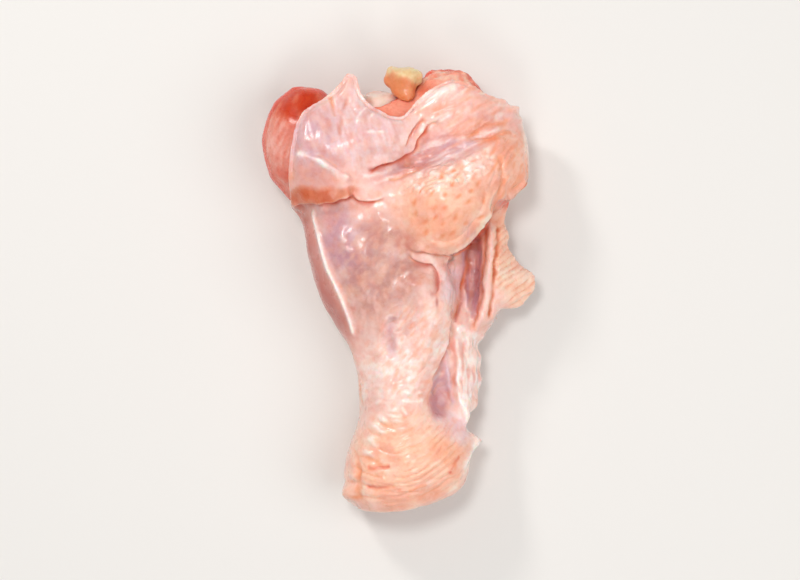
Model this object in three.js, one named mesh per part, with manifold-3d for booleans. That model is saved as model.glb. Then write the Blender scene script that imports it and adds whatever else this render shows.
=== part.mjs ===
// A raw chicken wing drumette: the upper joint of the wing, cut at the shoulder and at the elbow.
// It lies on its flatter side. Red meat shows past the skin at the shoulder cut, with a lump of
// yellow fat and the pale head of the bone, and the bone and meat show again at the elbow cut.
// Units are millimetres. +Z is up, +Y runs to the shoulder cut and -Y to the elbow.

import * as THREE from 'three';
import Module from 'manifold-3d';
import { mergeVertices } from 'three/addons/utils/BufferGeometryUtils.js';

const { smoothstep, lerp, degToRad } = THREE.MathUtils;

// Driving dimensions
const SKIN_THICKNESS = 2;
const GAP = 0.35; // clearance between neighbouring pieces
const BLEND = 5; // how softly two muscles run into each other
const SOLE_BLEND = 2; // how softly the side turns under into the flat sole
const SOLE_BAND = 0.1; // skin this close to the surface that it lies on rests flat on it
const ELBOW_END_Y = -42.6;
const ELBOW_CUT_TOP_Z = 13;
const ELBOW_CUT_TILT = 20; // degrees, so that the skin's upper edge overhangs the cut
const ELBOW_CUT_TURN = 9; // degrees about Z

// The line inside the limb from which every wrapped surface is measured
const AXIS_ELBOW = new THREE.Vector3(1.5, -32, 9.5);
const AXIS_SHOULDER = new THREE.Vector3(1, 29, 11);
const AXIS_SPREAD_SHOULDER = 13; // the shoulder is flat and wide, so its rays start from a wide sheet
const AXIS_SPREAD_SHAFT = 3;
const ELBOW_CAP_SHARE = 0.2; // of the rows, for each rounded end
const SHOULDER_CAP_SHARE = 0.24;

// How finely each surface is divided: sides round the limb, and rows along it
const SKIN_SIDES = 54;
const SKIN_ROWS = 44;
const MEAT_SIDES = 40;
const MEAT_ROWS = 30;
const BONE_SIDES = 18;
const FAT_SIDES = 20;
const FAT_ROWS = 14;

// Muscles, as ellipsoids turned about Z by degrees
const MUSCLES = {
  frontShoulder: { at: [-19, 28.8, 9.6], radii: [8, 10.4, 8.8] },
  middleShoulder: { at: [-8.5, 26.2, 10.4], radii: [12.4, 10, 11.2] },
  rearShoulder: { at: [13, 27.4, 10], radii: [9, 9.4, 9] },
  crown: { at: [9.2, 36.4, 10], radii: [7, 7.4, 7.6] },
  notchMuscle: { at: [-0.5, 33, 9.4], radii: [8, 4.8, 7.4] },
  deltoid: { at: [8.8, 17.4, 10.4], radii: [7.6, 8, 11.4] },
  biceps: { at: [-6.4, 9, 9.4], radii: [7.8, 18.8, 9.4], turn: 13 },
  frontShaft: { at: [-10.2, 6.2, 7.8], radii: [5, 12.6, 6.8], turn: 11 },
  triceps: { at: [4.8, 2, 9], radii: [7, 20, 9.2], turn: 3 },
  shaft: { at: [0.8, -14, 8.6], radii: [7.2, 20, 8.4] },
  elbow: { at: [2.2, -33, 8.4], radii: [9.8, 8.8, 8.4], turn: 34 },
  elbowCorner: { at: [-3.2, -37.4, 7.6], radii: [5.2, 6, 6.8] },
};

// Skin that is thicker than the rest because of the fat in it
const PADS = {
  deltoidPad: { at: [8.5, 17.6, 12.2], radii: [9.3, 10.3, 13.2] },
  rearLobe: { at: [16.8, 25, 10.4], radii: [8.2, 8.2, 9.8] },
  crownCorner: { at: [17.4, 33, 10.6], radii: [6, 5.2, 7.4] },
  frontLobe: { at: [-14.5, 25.6, 12.8], radii: [8.4, 8.6, 8.2] },
  tip: { at: [-9.5, 37.2, 16.2], radii: [4.6, 6.6, 2.4] },
  elbowPad: { at: [2.1, -32.8, 9.2], radii: [11.7, 10.4, 9.6], turn: 34 },
};

// Valleys between the muscles, as strokes in plan, which the meat and the skin both follow.
// Height is up or down, and width is to each side.
const VALLEYS = {
  shoulderValley: { path: [[-5, 22.6], [4.3, 25.1], [11.3, 28.1], [20, 32.2]], height: -3, width: 3.8 },
  underFrontLobe: { path: [[-24, 14.6], [-19.5, 14.6], [-13, 14.8], [-6, 15]], height: -1.8, width: 3.2 },
  underDeltoid: { path: [[1.5, 5.4], [7, 3.8], [12.4, 5], [16.6, 9.6], [20.6, 14.6]], height: -2, width: 3 },
  rearGroove: {
    path: [[15, 11], [13.6, 4.5], [13.8, -2], [11, -9], [8.2, -16], [8.8, -24]],
    height: -2.2,
    width: 3,
  },
};

// Narrow folds and ridges of the skin alone, as strokes too
const FOLDS = {
  shoulderOverlap: {
    path: [[-9.5, 24.2], [-3, 25.2], [2.5, 28.5], [5.4, 32], [9.6, 34]],
    height: -1,
    width: 1.8,
  },
  deltoidLip: { path: [[3, 9.6], [8.5, 8.8], [12.6, 11], [15.8, 14.6], [18.8, 18.8]], height: 1, width: 1.8 },
  hookFold: { path: [[4.8, 5], [7.8, 4], [8.6, 1.4], [6.4, -1.4]], height: -0.9, width: 1.5 },
  puckeredBump: { path: [[1.6, 1.4], [5.4, 0.4]], height: 0.9, width: 2 },
  tendon: { path: [[-16.2, 15], [-14.2, 8], [-11.8, -0.5], [-9.2, -9], [-8, -15]], height: 0.9, width: 1.3 },
  centreGroove: { path: [[0.5, -5], [-0.4, -11], [0, -16]], height: -0.9, width: 1.8 },
};

// The skin's edge at the shoulder cut, in plan, with its pointed tip and its notch. Below the top of
// the cut the edge slants back towards the elbow: soon at first, and less below the bend.
const SKIN_EDGE = [
  [-22.6, 17], [-21.8, 22], [-21.2, 28], [-19.4, 33.8], [-14.6, 38.2], [-9.2, 42.2],
  [-7.4, 38.2], [-4.2, 34.2], [-0.2, 32.6], [2.4, 36], [6.2, 39.6], [10.6, 41.6], [16, 40.8], [24, 42],
];
const SKIN_CUT = { topZ: 18, bendZ: 12, span: 18, upperSlant: 0.9, lowerSlant: 0.25 };

// Loose skin along the rear side, as lines in plan: its raised crest and its free edge, which runs
// out to a point where the skin hangs from the shoulder and is ruffled along the shaft
const CREST = [[17.6, 18], [17.6, 11], [17, 3], [15.6, -5], [12.6, -11], [12.2, -18], [13.2, -27]];
const FREE_EDGE = [
  [20.4, 18], [21, 12.6], [22.4, 6.6], [27, 2.2], [24.6, -2.6],
  [15.8, -9.6], [16.2, -15], [15.6, -21.6], [15, -28],
];
const LOOSE_SKIN = {
  rows: 46,
  columns: 6,
  thickness: 1.8,
  rootInset: 5,
  rootZ: 3.5,
  crestZ: 12.4,
  freeZ: 6.6,
  ruffles: 11,
  ruffle: 0.55,
  endShare: 0.12, // of its length, over which each end is tucked into the limb
  endTuck: 0.7,
};
const POINT = { at: [14.4, -29.4, 8.6], radius: 2.2, length: 3.4, sides: 10 };

// The bone, as radii along its length from the elbow to the shoulder
const BONE_ELBOW = new THREE.Vector3(0.8, -36, 8);
const BONE_SHOULDER = new THREE.Vector3(-4.2, 34.6, 10);
const BONE_PROFILE = [
  [-4.6, 3.4], [-2.6, 4.8], [1, 5.2], [7, 3.9], [16, 3],
  [36, 2.8], [56, 3.3], [64, 4.4], [69.5, 5.4], [74, 4.4],
];

const FAT = {
  lobe: { at: [-0.8, 41.2, 13.2], radii: [2.2, 2.6, 2.6] },
  ridge: { at: [1.8, 41.6, 13.8], radii: [2.4, 2, 2.6] },
  root: { at: [1.2, 38.6, 13.8], radii: [2.4, 2.6, 2.6] },
};
const FAT_BLEND = 2;

const COLOURS = { skin: 0xf0c0ae, meat: 0xd9543f, bone: 0xeee0d6, shoulder_fat: 0xe6c184 };

const wasm = await Module();
wasm.setup();

// Near enough the distance from a point to an ellipsoid, negative inside it
function ellipsoid({ at, radii, turn = 0 }) {
  const [rx, ry, rz] = radii;
  const cos = Math.cos(degToRad(turn));
  const sin = Math.sin(degToRad(turn));
  return (p) => {
    const x = p.x - at[0];
    const y = p.y - at[1];
    const u = (x * cos + y * sin) / rx;
    const v = (y * cos - x * sin) / ry;
    const w = (p.z - at[2]) / rz;
    const scaled = Math.hypot(u, v, w);
    return (scaled * (scaled - 1)) / Math.max(Math.hypot(u / rx, v / ry, w / rz), 1e-6);
  };
}

function softMin(a, b, blend) {
  const near = Math.max(blend - Math.abs(a - b), 0) / blend;
  return Math.min(a, b) - (near * near * blend) / 4;
}

function softUnion(shapes, blend) {
  const fields = Object.values(shapes).map(ellipsoid);
  return (p) => fields.reduce((soFar, field) => softMin(soFar, field(p), blend), Infinity);
}

// Cuts a field off flat at a height, where the limb rests
function flattened(field, soleZ) {
  return (p) => -softMin(-field(p), p.z - soleZ, SOLE_BLEND);
}

// A smooth line through points in plan
function planCurve(points) {
  return new THREE.CatmullRomCurve3(points.map(([x, y]) => new THREE.Vector3(x, y, 0)));
}

// A stroke's height at a point, which falls off to each side of its line
function stroked({ path, height, width }) {
  const line = planCurve(path).getPoints(24);
  const nearest = new THREE.Vector3();
  const step = new THREE.Line3();
  return (p) => {
    const flat = new THREE.Vector3(p.x, p.y, 0);
    let distance = Infinity;
    for (let i = 1; i < line.length; i += 1) {
      step.set(line[i - 1], line[i]).closestPointToPoint(flat, true, nearest);
      distance = Math.min(distance, nearest.distanceTo(flat));
    }
    return height * Math.exp(-((distance / width) ** 2));
  };
}

// The sum of some strokes, which fades out below the limb's axis
function relief(strokes) {
  const heights = Object.values(strokes).map(stroked);
  return (p, direction) => {
    const upper = smoothstep(direction.z, -0.15, 0.35);
    return upper === 0 ? 0 : upper * heights.reduce((sum, height) => sum + height(p), 0);
  };
}

// How far along a ray the surface of a field lies
function reach(field, start, direction) {
  const p = new THREE.Vector3();
  const value = (t) => field(p.copy(direction).multiplyScalar(t).add(start));
  let inside = 0;
  let outside = 0.5;
  while (value(outside) < 0) {
    inside = outside;
    outside += 0.5;
  }
  for (let i = 0; i < 16; i += 1) {
    const middle = (inside + outside) / 2;
    if (value(middle) < 0) inside = middle;
    else outside = middle;
  }
  return outside;
}

// The ray from the limb's axis that belongs to a point of the unit sphere, whose poles are the two ends
function limbRay(v) {
  const row = Math.acos(THREE.MathUtils.clamp(-v.y, -1, 1)) / Math.PI;
  const turn = Math.atan2(v.z, v.x);
  const elbowTilt = Math.max(0, 1 - row / ELBOW_CAP_SHARE);
  const shoulderTilt = Math.max(0, (row - 1 + SHOULDER_CAP_SHARE) / SHOULDER_CAP_SHARE);
  const tilt = ((shoulderTilt - elbowTilt) * Math.PI) / 2;
  const along = (row - ELBOW_CAP_SHARE) / (1 - ELBOW_CAP_SHARE - SHOULDER_CAP_SHARE);
  const start = AXIS_ELBOW.clone().lerp(AXIS_SHOULDER, THREE.MathUtils.clamp(along, 0, 1));
  const spread = lerp(AXIS_SPREAD_SHAFT, AXIS_SPREAD_SHOULDER, smoothstep(start.y, 4, 22));
  const level = Math.cos(tilt);
  const direction = new THREE.Vector3(Math.cos(turn) * level, Math.sin(tilt), Math.sin(turn) * level);
  start.x += spread * direction.x;
  return { start, direction };
}

// A closed surface: a sphere's points moved out along their rays to a field, and then by a height
function wrapped(sides, rows, rayFor, field, heightAt = () => 0) {
  const sphere = new THREE.SphereGeometry(1, sides, rows);
  sphere.deleteAttribute('normal');
  sphere.deleteAttribute('uv');
  const geometry = mergeVertices(sphere, 1e-5);
  const position = geometry.getAttribute('position');
  const v = new THREE.Vector3();
  for (let i = 0; i < position.count; i += 1) {
    const { start, direction } = rayFor(v.fromBufferAttribute(position, i));
    const point = direction.clone().multiplyScalar(reach(field, start, direction)).add(start);
    point.addScaledVector(direction, heightAt(point, direction));
    position.setXYZ(i, point.x, point.y, point.z);
  }
  return geometry;
}

function solid(geometry) {
  const plain = geometry.clone();
  plain.deleteAttribute('normal');
  plain.deleteAttribute('uv');
  const merged = mergeVertices(plain, 1e-4);
  return new wasm.Manifold(new wasm.Mesh({
    numProp: 3,
    vertProperties: new Float32Array(merged.getAttribute('position').array),
    triVerts: new Uint32Array(merged.index.array),
  }));
}

// Keeps the largest body of a solid, so that a cut leaves no loose scraps
function largest(shape) {
  return shape.decompose().reduce((best, body) => (body.volume() > best.volume() ? body : best));
}

const muscleField = softUnion(MUSCLES, BLEND);
const padField = softUnion(PADS, BLEND);
const valleys = relief(VALLEYS);
const folds = relief(FOLDS);

// The meat's form at a distance outside it
function meatForm(outside) {
  const field = flattened((p) => muscleField(p) - outside, SKIN_THICKNESS - outside);
  return solid(wrapped(MEAT_SIDES, MEAT_ROWS, limbRay, field, valleys));
}

function skinForm() {
  const covered = (p) => softMin(muscleField(p) - SKIN_THICKNESS, padField(p), BLEND / 2);
  const height = (point, direction) => valleys(point, direction) + folds(point, direction);
  const geometry = wrapped(SKIN_SIDES, SKIN_ROWS, limbRay, flattened(covered, 0), height);
  const position = geometry.getAttribute('position');
  for (let i = 0; i < position.count; i += 1) {
    if (position.getZ(i) < SOLE_BAND) position.setZ(i, 0);
  }
  return solid(geometry);
}

// What lies beyond the skin's edge at the shoulder cut
function beyondSkinEdge() {
  const far = 70;
  const { topZ, bendZ, span, upperSlant, lowerSlant } = SKIN_CUT;
  const shape = new THREE.Shape();
  shape.moveTo(-far, SKIN_EDGE[0][1]);
  shape.lineTo(...SKIN_EDGE[0]);
  shape.splineThru(SKIN_EDGE.slice(1).map(([x, y]) => new THREE.Vector2(x, y)));
  shape.lineTo(far, SKIN_EDGE.at(-1)[1]);
  shape.lineTo(far, far);
  shape.lineTo(-far, far);
  shape.closePath();
  const extrusion = { depth: 2 * span, steps: 2, bevelEnabled: false, curveSegments: 3 };
  const geometry = new THREE.ExtrudeGeometry(shape, extrusion);
  geometry.translate(0, 0, bendZ - span);
  const position = geometry.getAttribute('position');
  for (let i = 0; i < position.count; i += 1) {
    const z = position.getZ(i);
    const slant = (Math.max(z, bendZ) - topZ) * upperSlant + Math.min(z - bendZ, 0) * lowerSlant;
    position.setY(i, position.getY(i) + slant);
  }
  return solid(geometry);
}

// What lies beyond the elbow cut, a plane that faces the end and a little down
function beyondElbow(inset) {
  const size = 80;
  const block = new THREE.BoxGeometry(size, size, size).translate(0, -size / 2 + inset, 0);
  block.rotateX(degToRad(ELBOW_CUT_TILT)).rotateZ(degToRad(ELBOW_CUT_TURN));
  return solid(block.translate(0, ELBOW_END_Y, ELBOW_CUT_TOP_Z));
}

// A thin closed sheet: each point of a flat slab goes where place puts it, for shares 0 to 1 along
// and across it, and then half the thickness up or down
function sheet(along, across, thickness, place) {
  const slab = new THREE.BoxGeometry(1, 1, 1, across, along, 1);
  const position = slab.getAttribute('position');
  for (let i = 0; i < position.count; i += 1) {
    const u = position.getY(i) + 0.5;
    const v = position.getX(i) + 0.5;
    const p = place(u, v);
    p.z += position.getZ(i) * thickness;
    position.setXYZ(i, p.x, p.y, p.z);
  }
  return solid(slab);
}

// Skin that rises from its root inside the limb to a crest, and falls from there to its free edge
function looseSkin() {
  const { rows, columns, thickness, rootInset, rootZ, crestZ, freeZ } = LOOSE_SKIN;
  const { ruffles, ruffle, endShare, endTuck } = LOOSE_SKIN;
  const crest = planCurve([...CREST].reverse());
  const freeEdge = planCurve([...FREE_EDGE].reverse());
  return sheet(rows, columns, thickness, (u, across) => {
    const nearEnd = Math.max(0, 1 - Math.min(u, 1 - u) / endShare);
    const v = across * (1 - endTuck * nearEnd ** 2);
    const top = crest.getPoint(u);
    const edge = freeEdge.getPoint(u);
    const beyond = Math.max(0, 2 * v - 1);
    const p = top.clone().lerp(edge, beyond);
    if (v < 0.5) p.x -= rootInset * (1 - 2 * v);
    const wave = ruffle * Math.sin(u * ruffles * Math.PI * 2) * beyond;
    p.z = v < 0.5 ? lerp(rootZ, crestZ, Math.sin(v * Math.PI)) : lerp(crestZ, freeZ, beyond ** 1.3);
    p.z += wave;
    p.x += wave * 0.6;
    return p;
  });
}

function skinPoint() {
  const cone = new THREE.ConeGeometry(POINT.radius, POINT.length, POINT.sides);
  return solid(cone.rotateZ(degToRad(-80)).translate(...POINT.at));
}

function boneForm(outside) {
  const axis = BONE_SHOULDER.clone().sub(BONE_ELBOW);
  const stations = BONE_PROFILE.map(([y, r]) => new THREE.Vector2(r + outside, y));
  const smooth = new THREE.SplineCurve(stations).getPoints(16);
  const first = new THREE.Vector2(0, stations[0].y - outside - 0.8);
  const last = new THREE.Vector2(0, stations.at(-1).y + outside + 1.4);
  const geometry = new THREE.LatheGeometry([first, ...smooth, last], BONE_SIDES);
  const turn = new THREE.Quaternion().setFromUnitVectors(new THREE.Vector3(0, 1, 0), axis.normalize());
  return solid(geometry.applyQuaternion(turn).translate(...BONE_ELBOW.toArray()));
}

function fatForm() {
  const middle = new THREE.Vector3(...FAT.lobe.at).lerp(new THREE.Vector3(...FAT.root.at), 0.4);
  const ray = (v) => ({ start: middle, direction: v.clone().normalize() });
  return solid(wrapped(FAT_SIDES, FAT_ROWS, ray, softUnion(FAT, FAT_BLEND)));
}

const meatSolid = meatForm(0)
  .subtract(boneForm(GAP))
  .subtract(beyondElbow(0.8));
const skinSolid = skinForm()
  .subtract(beyondSkinEdge())
  .add(looseSkin())
  .add(skinPoint())
  .subtract(meatForm(GAP))
  .subtract(boneForm(GAP))
  .subtract(beyondElbow(0));
const fatSolid = fatForm()
  .subtract(meatForm(GAP))
  .subtract(boneForm(GAP));

const pieces = {
  skin: largest(skinSolid),
  meat: largest(meatSolid),
  bone: boneForm(0),
  shoulder_fat: largest(fatSolid),
};

const FINISH = {
  skin: { roughness: 0.35 },
  meat: { roughness: 0.3 },
  bone: { roughness: 0.4 },
  shoulder_fat: { roughness: 0.4 },
};

function meshOf(name, shape) {
  const { vertProperties, triVerts } = shape.getMesh();
  const geometry = new THREE.BufferGeometry();
  geometry.setAttribute('position', new THREE.BufferAttribute(vertProperties, 3));
  geometry.setIndex(new THREE.BufferAttribute(triVerts, 1));
  const material = new THREE.MeshStandardMaterial({ color: COLOURS[name], ...FINISH[name] });
  const mesh = new THREE.Mesh(geometry, material);
  mesh.name = name;
  return mesh;
}

// The origin is under the middle of the drumette, on the surface that it lies on
const drumette = new THREE.Group();
for (const [name, shape] of Object.entries(pieces)) drumette.add(meshOf(name, shape));
const box = new THREE.Box3().setFromObject(drumette);
const centre = box.getCenter(new THREE.Vector3());
drumette.position.set(-centre.x, -centre.y, -box.min.z);

export default drumette;
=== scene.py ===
# A raw chicken drumette, seen from straight above on a pale floor.
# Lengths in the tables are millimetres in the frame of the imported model: +X is the side with the
# loose skin, +Y the shoulder cut and +Z up. Blender's own lengths are metres.
import math
import random

import bpy
import numpy as np
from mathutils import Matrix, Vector, noise
from mathutils.bvhtree import BVHTree


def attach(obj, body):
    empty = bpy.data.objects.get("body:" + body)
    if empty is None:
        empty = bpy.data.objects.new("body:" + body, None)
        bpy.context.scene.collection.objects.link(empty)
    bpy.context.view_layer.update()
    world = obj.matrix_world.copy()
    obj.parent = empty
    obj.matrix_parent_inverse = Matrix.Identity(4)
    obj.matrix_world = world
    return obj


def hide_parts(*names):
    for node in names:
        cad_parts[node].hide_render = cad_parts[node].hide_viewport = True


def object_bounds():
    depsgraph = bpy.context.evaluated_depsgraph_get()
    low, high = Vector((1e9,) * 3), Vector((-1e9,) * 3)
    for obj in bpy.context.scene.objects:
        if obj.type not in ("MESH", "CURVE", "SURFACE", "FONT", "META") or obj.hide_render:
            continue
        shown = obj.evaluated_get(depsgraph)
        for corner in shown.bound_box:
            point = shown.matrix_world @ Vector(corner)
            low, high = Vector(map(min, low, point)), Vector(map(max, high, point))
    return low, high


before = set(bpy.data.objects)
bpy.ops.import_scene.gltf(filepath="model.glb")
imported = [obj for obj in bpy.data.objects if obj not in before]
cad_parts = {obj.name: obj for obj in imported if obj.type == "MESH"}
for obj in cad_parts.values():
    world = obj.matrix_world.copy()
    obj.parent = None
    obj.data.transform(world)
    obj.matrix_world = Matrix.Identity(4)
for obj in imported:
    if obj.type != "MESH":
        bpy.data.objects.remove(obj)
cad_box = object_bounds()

MM = 0.001

# The camera looks straight down, and takes in this height at the middle of the drumette
VIEW_HEIGHT = 113
LENS = 150
SENSOR = 36
IMAGE_SHAPE = 800 / 580

# How finely the skin and the meat are divided, before the skin's upper side is divided again
SKIN_VOXEL = 0.56
MEAT_VOXEL = 0.6
BONE_VOXEL = 0.6
FAT_VOXEL = 0.28

# A point of the skin counts as lying on the meat where the meat is this close in front of it
SKIN_WALL = 1.6

# Cracks in the skin up to twice as wide as this are closed before it is sculpted
CRACK = 0.45

# The share of the skin's faces that is left once the ones on the meat are thinned out
FACES_KEPT = 0.62

# Skin further out than LOOSE_START, and LOOSE_SPREAD more for each millimetre from the middle, hangs
# loose. That and the skin past SHOULDER_END, near the cut, are smoothed less than the rest.
LOOSE_START = 11.5
LOOSE_SPREAD = 0.28
SHOULDER_END = 34

# Only skin above this height is raised up to the edges of the deltoid and the rear lobe
RAISED_FROM = 8

# The relief fades in between these heights, so that the sole stays flat
SOLE_TOP = 0.3
RELIEF_FULL = 2.5

# The flap, which isn't evened out, lies further out than the first and lower down than the second
FLAP_CORNER = (16, 13)

# How long the mean of the normals round a point is, where the surface turns sharply and hardly
SHARP_TURN = 0.7
SLIGHT_TURN = 0.9

# How far the bone swells, which narrows the gap round it
BONE_SWELL = 0.25


# Colours

def shares(colour):
    """The red, green and blue of a hex value, from 0 to 1."""
    return np.array([(colour >> shift & 255) / 255 for shift in (16, 8, 0)])


def to_linear(srgb):
    srgb = np.clip(srgb, 0, 1)
    return np.where(srgb <= 0.04045, srgb / 12.92, ((srgb + 0.055) / 1.055) ** 2.4)


def linear(colour):
    """The linear red, green, blue and alpha of an sRGB hex value."""
    return (*to_linear(shares(colour)).tolist(), 1)


# Mesh helpers

def select_only(obj):
    bpy.ops.object.select_all(action="DESELECT")
    obj.select_set(True)
    bpy.context.view_layer.objects.active = obj


def apply_modifier(obj, kind, **settings):
    select_only(obj)
    modifier = obj.modifiers.new(kind, kind)
    for name, value in settings.items():
        setattr(modifier, name, value)
    bpy.ops.object.modifier_apply(modifier=modifier.name)


def merged_copy(node, name):
    """A new object with a CAD node's mesh, whose loose triangles are joined."""
    piece = bpy.data.objects.new(name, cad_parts[node].data.copy())
    bpy.context.scene.collection.objects.link(piece)
    piece.data.materials.clear()
    select_only(piece)
    bpy.ops.object.mode_set(mode="EDIT")
    bpy.ops.mesh.select_all(action="SELECT")
    bpy.ops.mesh.remove_doubles(threshold=1e-6)
    bpy.ops.object.mode_set(mode="OBJECT")
    return piece


def points(obj):
    """The places of a mesh's points, in millimetres."""
    co = np.empty(len(obj.data.vertices) * 3, np.float32)
    obj.data.vertices.foreach_get("co", co)
    return co.reshape(-1, 3).astype(float) / MM


def put_points(obj, co):
    obj.data.vertices.foreach_set("co", (co * MM).astype(np.float32).ravel())
    obj.data.update()


def normals(obj):
    n = np.empty(len(obj.data.vertices) * 3, np.float32)
    obj.data.vertices.foreach_get("normal", n)
    return n.reshape(-1, 3).astype(float)


def edges(obj):
    ends = np.empty(len(obj.data.edges) * 2, np.int32)
    obj.data.edges.foreach_get("vertices", ends)
    return ends.reshape(-1, 2)


def neighbour_mean(values, ends):
    """For each point, the mean of a value over the points that it shares an edge with."""
    total = np.zeros_like(values)
    count = np.zeros(len(values))
    for a, b in ((0, 1), (1, 0)):
        np.add.at(total, ends[:, a], values[ends[:, b]])
        np.add.at(count, ends[:, a], 1)
    return total / np.maximum(count, 1).reshape(-1, *[1] * (values.ndim - 1))


def hollowness(obj, passes):
    """How hollow the surface is at each point: more than 0 in a crease and less on a ridge."""
    co, n, ends = points(obj), normals(obj), edges(obj)
    smooth = co
    for _ in range(passes):
        smooth = neighbour_mean(smooth, ends)
    hollow = ((smooth - co) * n).sum(1)
    return neighbour_mean(hollow, ends)


def set_group(obj, name, weights):
    """A vertex group with a weight for each point, in steps of a tenth."""
    group = obj.vertex_groups.new(name=name)
    tenths = np.round(np.clip(weights, 0, 1) * 10).astype(int)
    for tenth in range(1, 11):
        group.add(np.nonzero(tenths == tenth)[0].tolist(), tenth / 10, "REPLACE")
    return name


def close_cracks(obj, reach, voxel):
    """Fills the cracks that are narrower than twice the reach."""
    for way in (reach, -reach):
        apply_modifier(obj, "REMESH", mode="VOXEL", voxel_size=voxel * MM)
        apply_modifier(obj, "DISPLACE", strength=way * MM, mid_level=0)


def untangle(obj, chosen):
    """Evens out the chosen points where the surface turns sharply against what is beside it."""
    for _ in range(3):
        ends = edges(obj)
        agreement = np.linalg.norm(neighbour_mean(normals(obj), ends), axis=1)
        turned = 1 - rise(agreement, SHARP_TURN, SLIGHT_TURN)
        co = points(obj)
        put_points(obj, co + (neighbour_mean(co, ends) - co) * (turned * chosen)[:, None])


def backed_by(obj, backing, reach):
    """For each point, True where the backing mesh lies within reach in front of it."""
    tree = BVHTree.FromObject(backing, bpy.context.evaluated_depsgraph_get())
    hits = []
    for vertex in obj.data.vertices:
        hits.append(tree.ray_cast(vertex.co, vertex.normal, reach * MM)[0] is not None)
    return np.array(hits)


def fill_out(obj, chosen, path, reach, drop):
    """Raises the chosen points to the left of a path, so that the surface beside them runs on to it."""
    tree = BVHTree.FromObject(obj, bpy.context.evaluated_depsgraph_get())
    co = points(obj)
    filled = co.copy()
    near, s, share, right = beside(path, co[:, :2], reach)
    ends = rise(share, 0.1, 0.3) * (1 - rise(share, 0.97, 1))
    for i, inward, end, way in zip(near, -s, ends, right):
        if chosen[i] and 0 < inward < reach:
            x, y = co[i, :2] - way * (reach - inward)
            top = tree.ray_cast(Vector((x, y, 100)) * MM, Vector((0, 0, -1)))[0]
            if top is None:
                continue
            full = top.z / MM - drop * (1 - inward / reach) ** 2
            filled[i, 2] += end * max(0, full - co[i, 2])
    put_points(obj, filled)


def divide(obj, chosen):
    """Divides once the faces whose points are all chosen."""
    select_only(obj)
    mesh = obj.data
    mesh.vertices.foreach_set("select", np.zeros(len(mesh.vertices), bool))
    mesh.edges.foreach_set("select", np.zeros(len(mesh.edges), bool))
    picked = [all(chosen[v] for v in face.vertices) for face in mesh.polygons]
    mesh.polygons.foreach_set("select", picked)
    bpy.ops.object.mode_set(mode="EDIT")
    bpy.ops.mesh.select_mode(type="FACE")
    bpy.ops.mesh.subdivide(number_cuts=1, smoothness=0)
    bpy.ops.object.mode_set(mode="OBJECT")


def paint(obj, tint):
    """Stores each point's sRGB colour on the mesh, as linear values."""
    rgba = np.ones((len(tint), 4), np.float32)
    rgba[:, :3] = to_linear(tint)
    layer = obj.data.color_attributes.new("tint", "FLOAT_COLOR", "POINT")
    layer.data.foreach_set("color", rgba.ravel())


# Shares, distances and noise

def rise(x, low, high):
    """0 below low and 1 above high, with a smooth step between."""
    t = np.clip((x - low) / (high - low), 0, 1)
    return t * t * (3 - 2 * t)


def smooth_line(path, steps=8):
    """A curve through a path's points."""
    p = np.array(path, float)
    p = np.vstack([2 * p[0] - p[1], p, 2 * p[-1] - p[-2]])
    line = []
    for a, b, c, d in zip(p, p[1:], p[2:], p[3:]):
        for t in np.linspace(0, 1, steps, endpoint=False):
            bend = (2 * a - 5 * b + 4 * c - d) * t**2 + (3 * b - a - 3 * c + d) * t**3
            line.append((2 * b + (c - a) * t + bend) / 2)
    line.append(p[-2])
    return np.array(line)


def beside(path, xy, reach):
    """The points within reach of a curve, and for each its distance, more than 0 to the right of the
    way that the curve runs, its share of the way along, and the direction to the right."""
    line = smooth_line(path)
    low, high = line.min(0) - reach, line.max(0) + reach
    near = np.nonzero(((xy > low) & (xy < high)).all(1))[0]
    start, step = line[:-1], np.diff(line, axis=0)
    length = np.hypot(*step.T)
    away = xy[near][:, None, :] - start[None]
    t = np.clip((away * step).sum(2) / length**2, 0, 1)
    distance = np.hypot(*np.moveaxis(away - t[..., None] * step, 2, 0))
    closest = distance.argmin(1)
    rows = np.arange(len(near))
    distance, t, away = distance[rows, closest], t[rows, closest], away[rows, closest]
    step, length_there = step[closest], length[closest]
    right = np.stack([step[:, 1], -step[:, 0]], 1) / length_there[:, None]
    side = np.where((away * right).sum(1) < 0, -1, 1)
    begun = np.concatenate([[0], np.cumsum(length)])
    share = (begun[closest] + t * length_there) / begun[-1]
    return near, distance * side, share, right


def noise_at(places, seed):
    """Smooth noise, mostly from -1 to 1, at each row of places."""
    shift = np.array((17.3, 5.1, 11.7)) * seed
    return np.array([noise.noise(Vector(place)) for place in places + shift])


def lumps(co, size, seed):
    return noise_at(co / size, seed)


def streaks(co, turn, along, across, seed):
    """Noise whose lumps are long in one direction in plan, turned by degrees from +X."""
    c, s = math.cos(math.radians(turn)), math.sin(math.radians(turn))
    x, y, z = co.T
    return noise_at(np.stack([(x * c + y * s) / along, (y * c - x * s) / across, 0.5 * z / across], 1), seed)


def wobble(co):
    """Small shifts in plan, so that no drawn line runs quite even."""
    return 0.35 * np.stack([lumps(co, 1.9, 61), lumps(co, 1.9, 62)], 1)


def uneven(co):
    """How strong a drawn line is at each point, from a quarter up."""
    return np.clip(0.85 + 0.9 * lumps(co, 2.6, 63), 0.25, 1.3)


def ribs(across, spacing, wander):
    """Rounded ribs a spacing apart with narrow creases between them, from 0 to 1."""
    return np.abs(np.sin(np.pi * (across + wander) / spacing)) ** 0.8


def pillows(values):
    """Turns noise into round pillows between narrow creases, from 0 to 1."""
    return np.minimum(1, 2.6 * np.abs(values)) ** 0.8


def ellipse(xy, centre, radii, turn):
    """The distance from an ellipse's centre, 1 on the ellipse."""
    c, s = math.cos(math.radians(turn)), math.sin(math.radians(turn))
    x, y = (xy - centre).T
    return np.hypot((x * c + y * s) / radii[0], (y * c - x * s) / radii[1])


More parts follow.
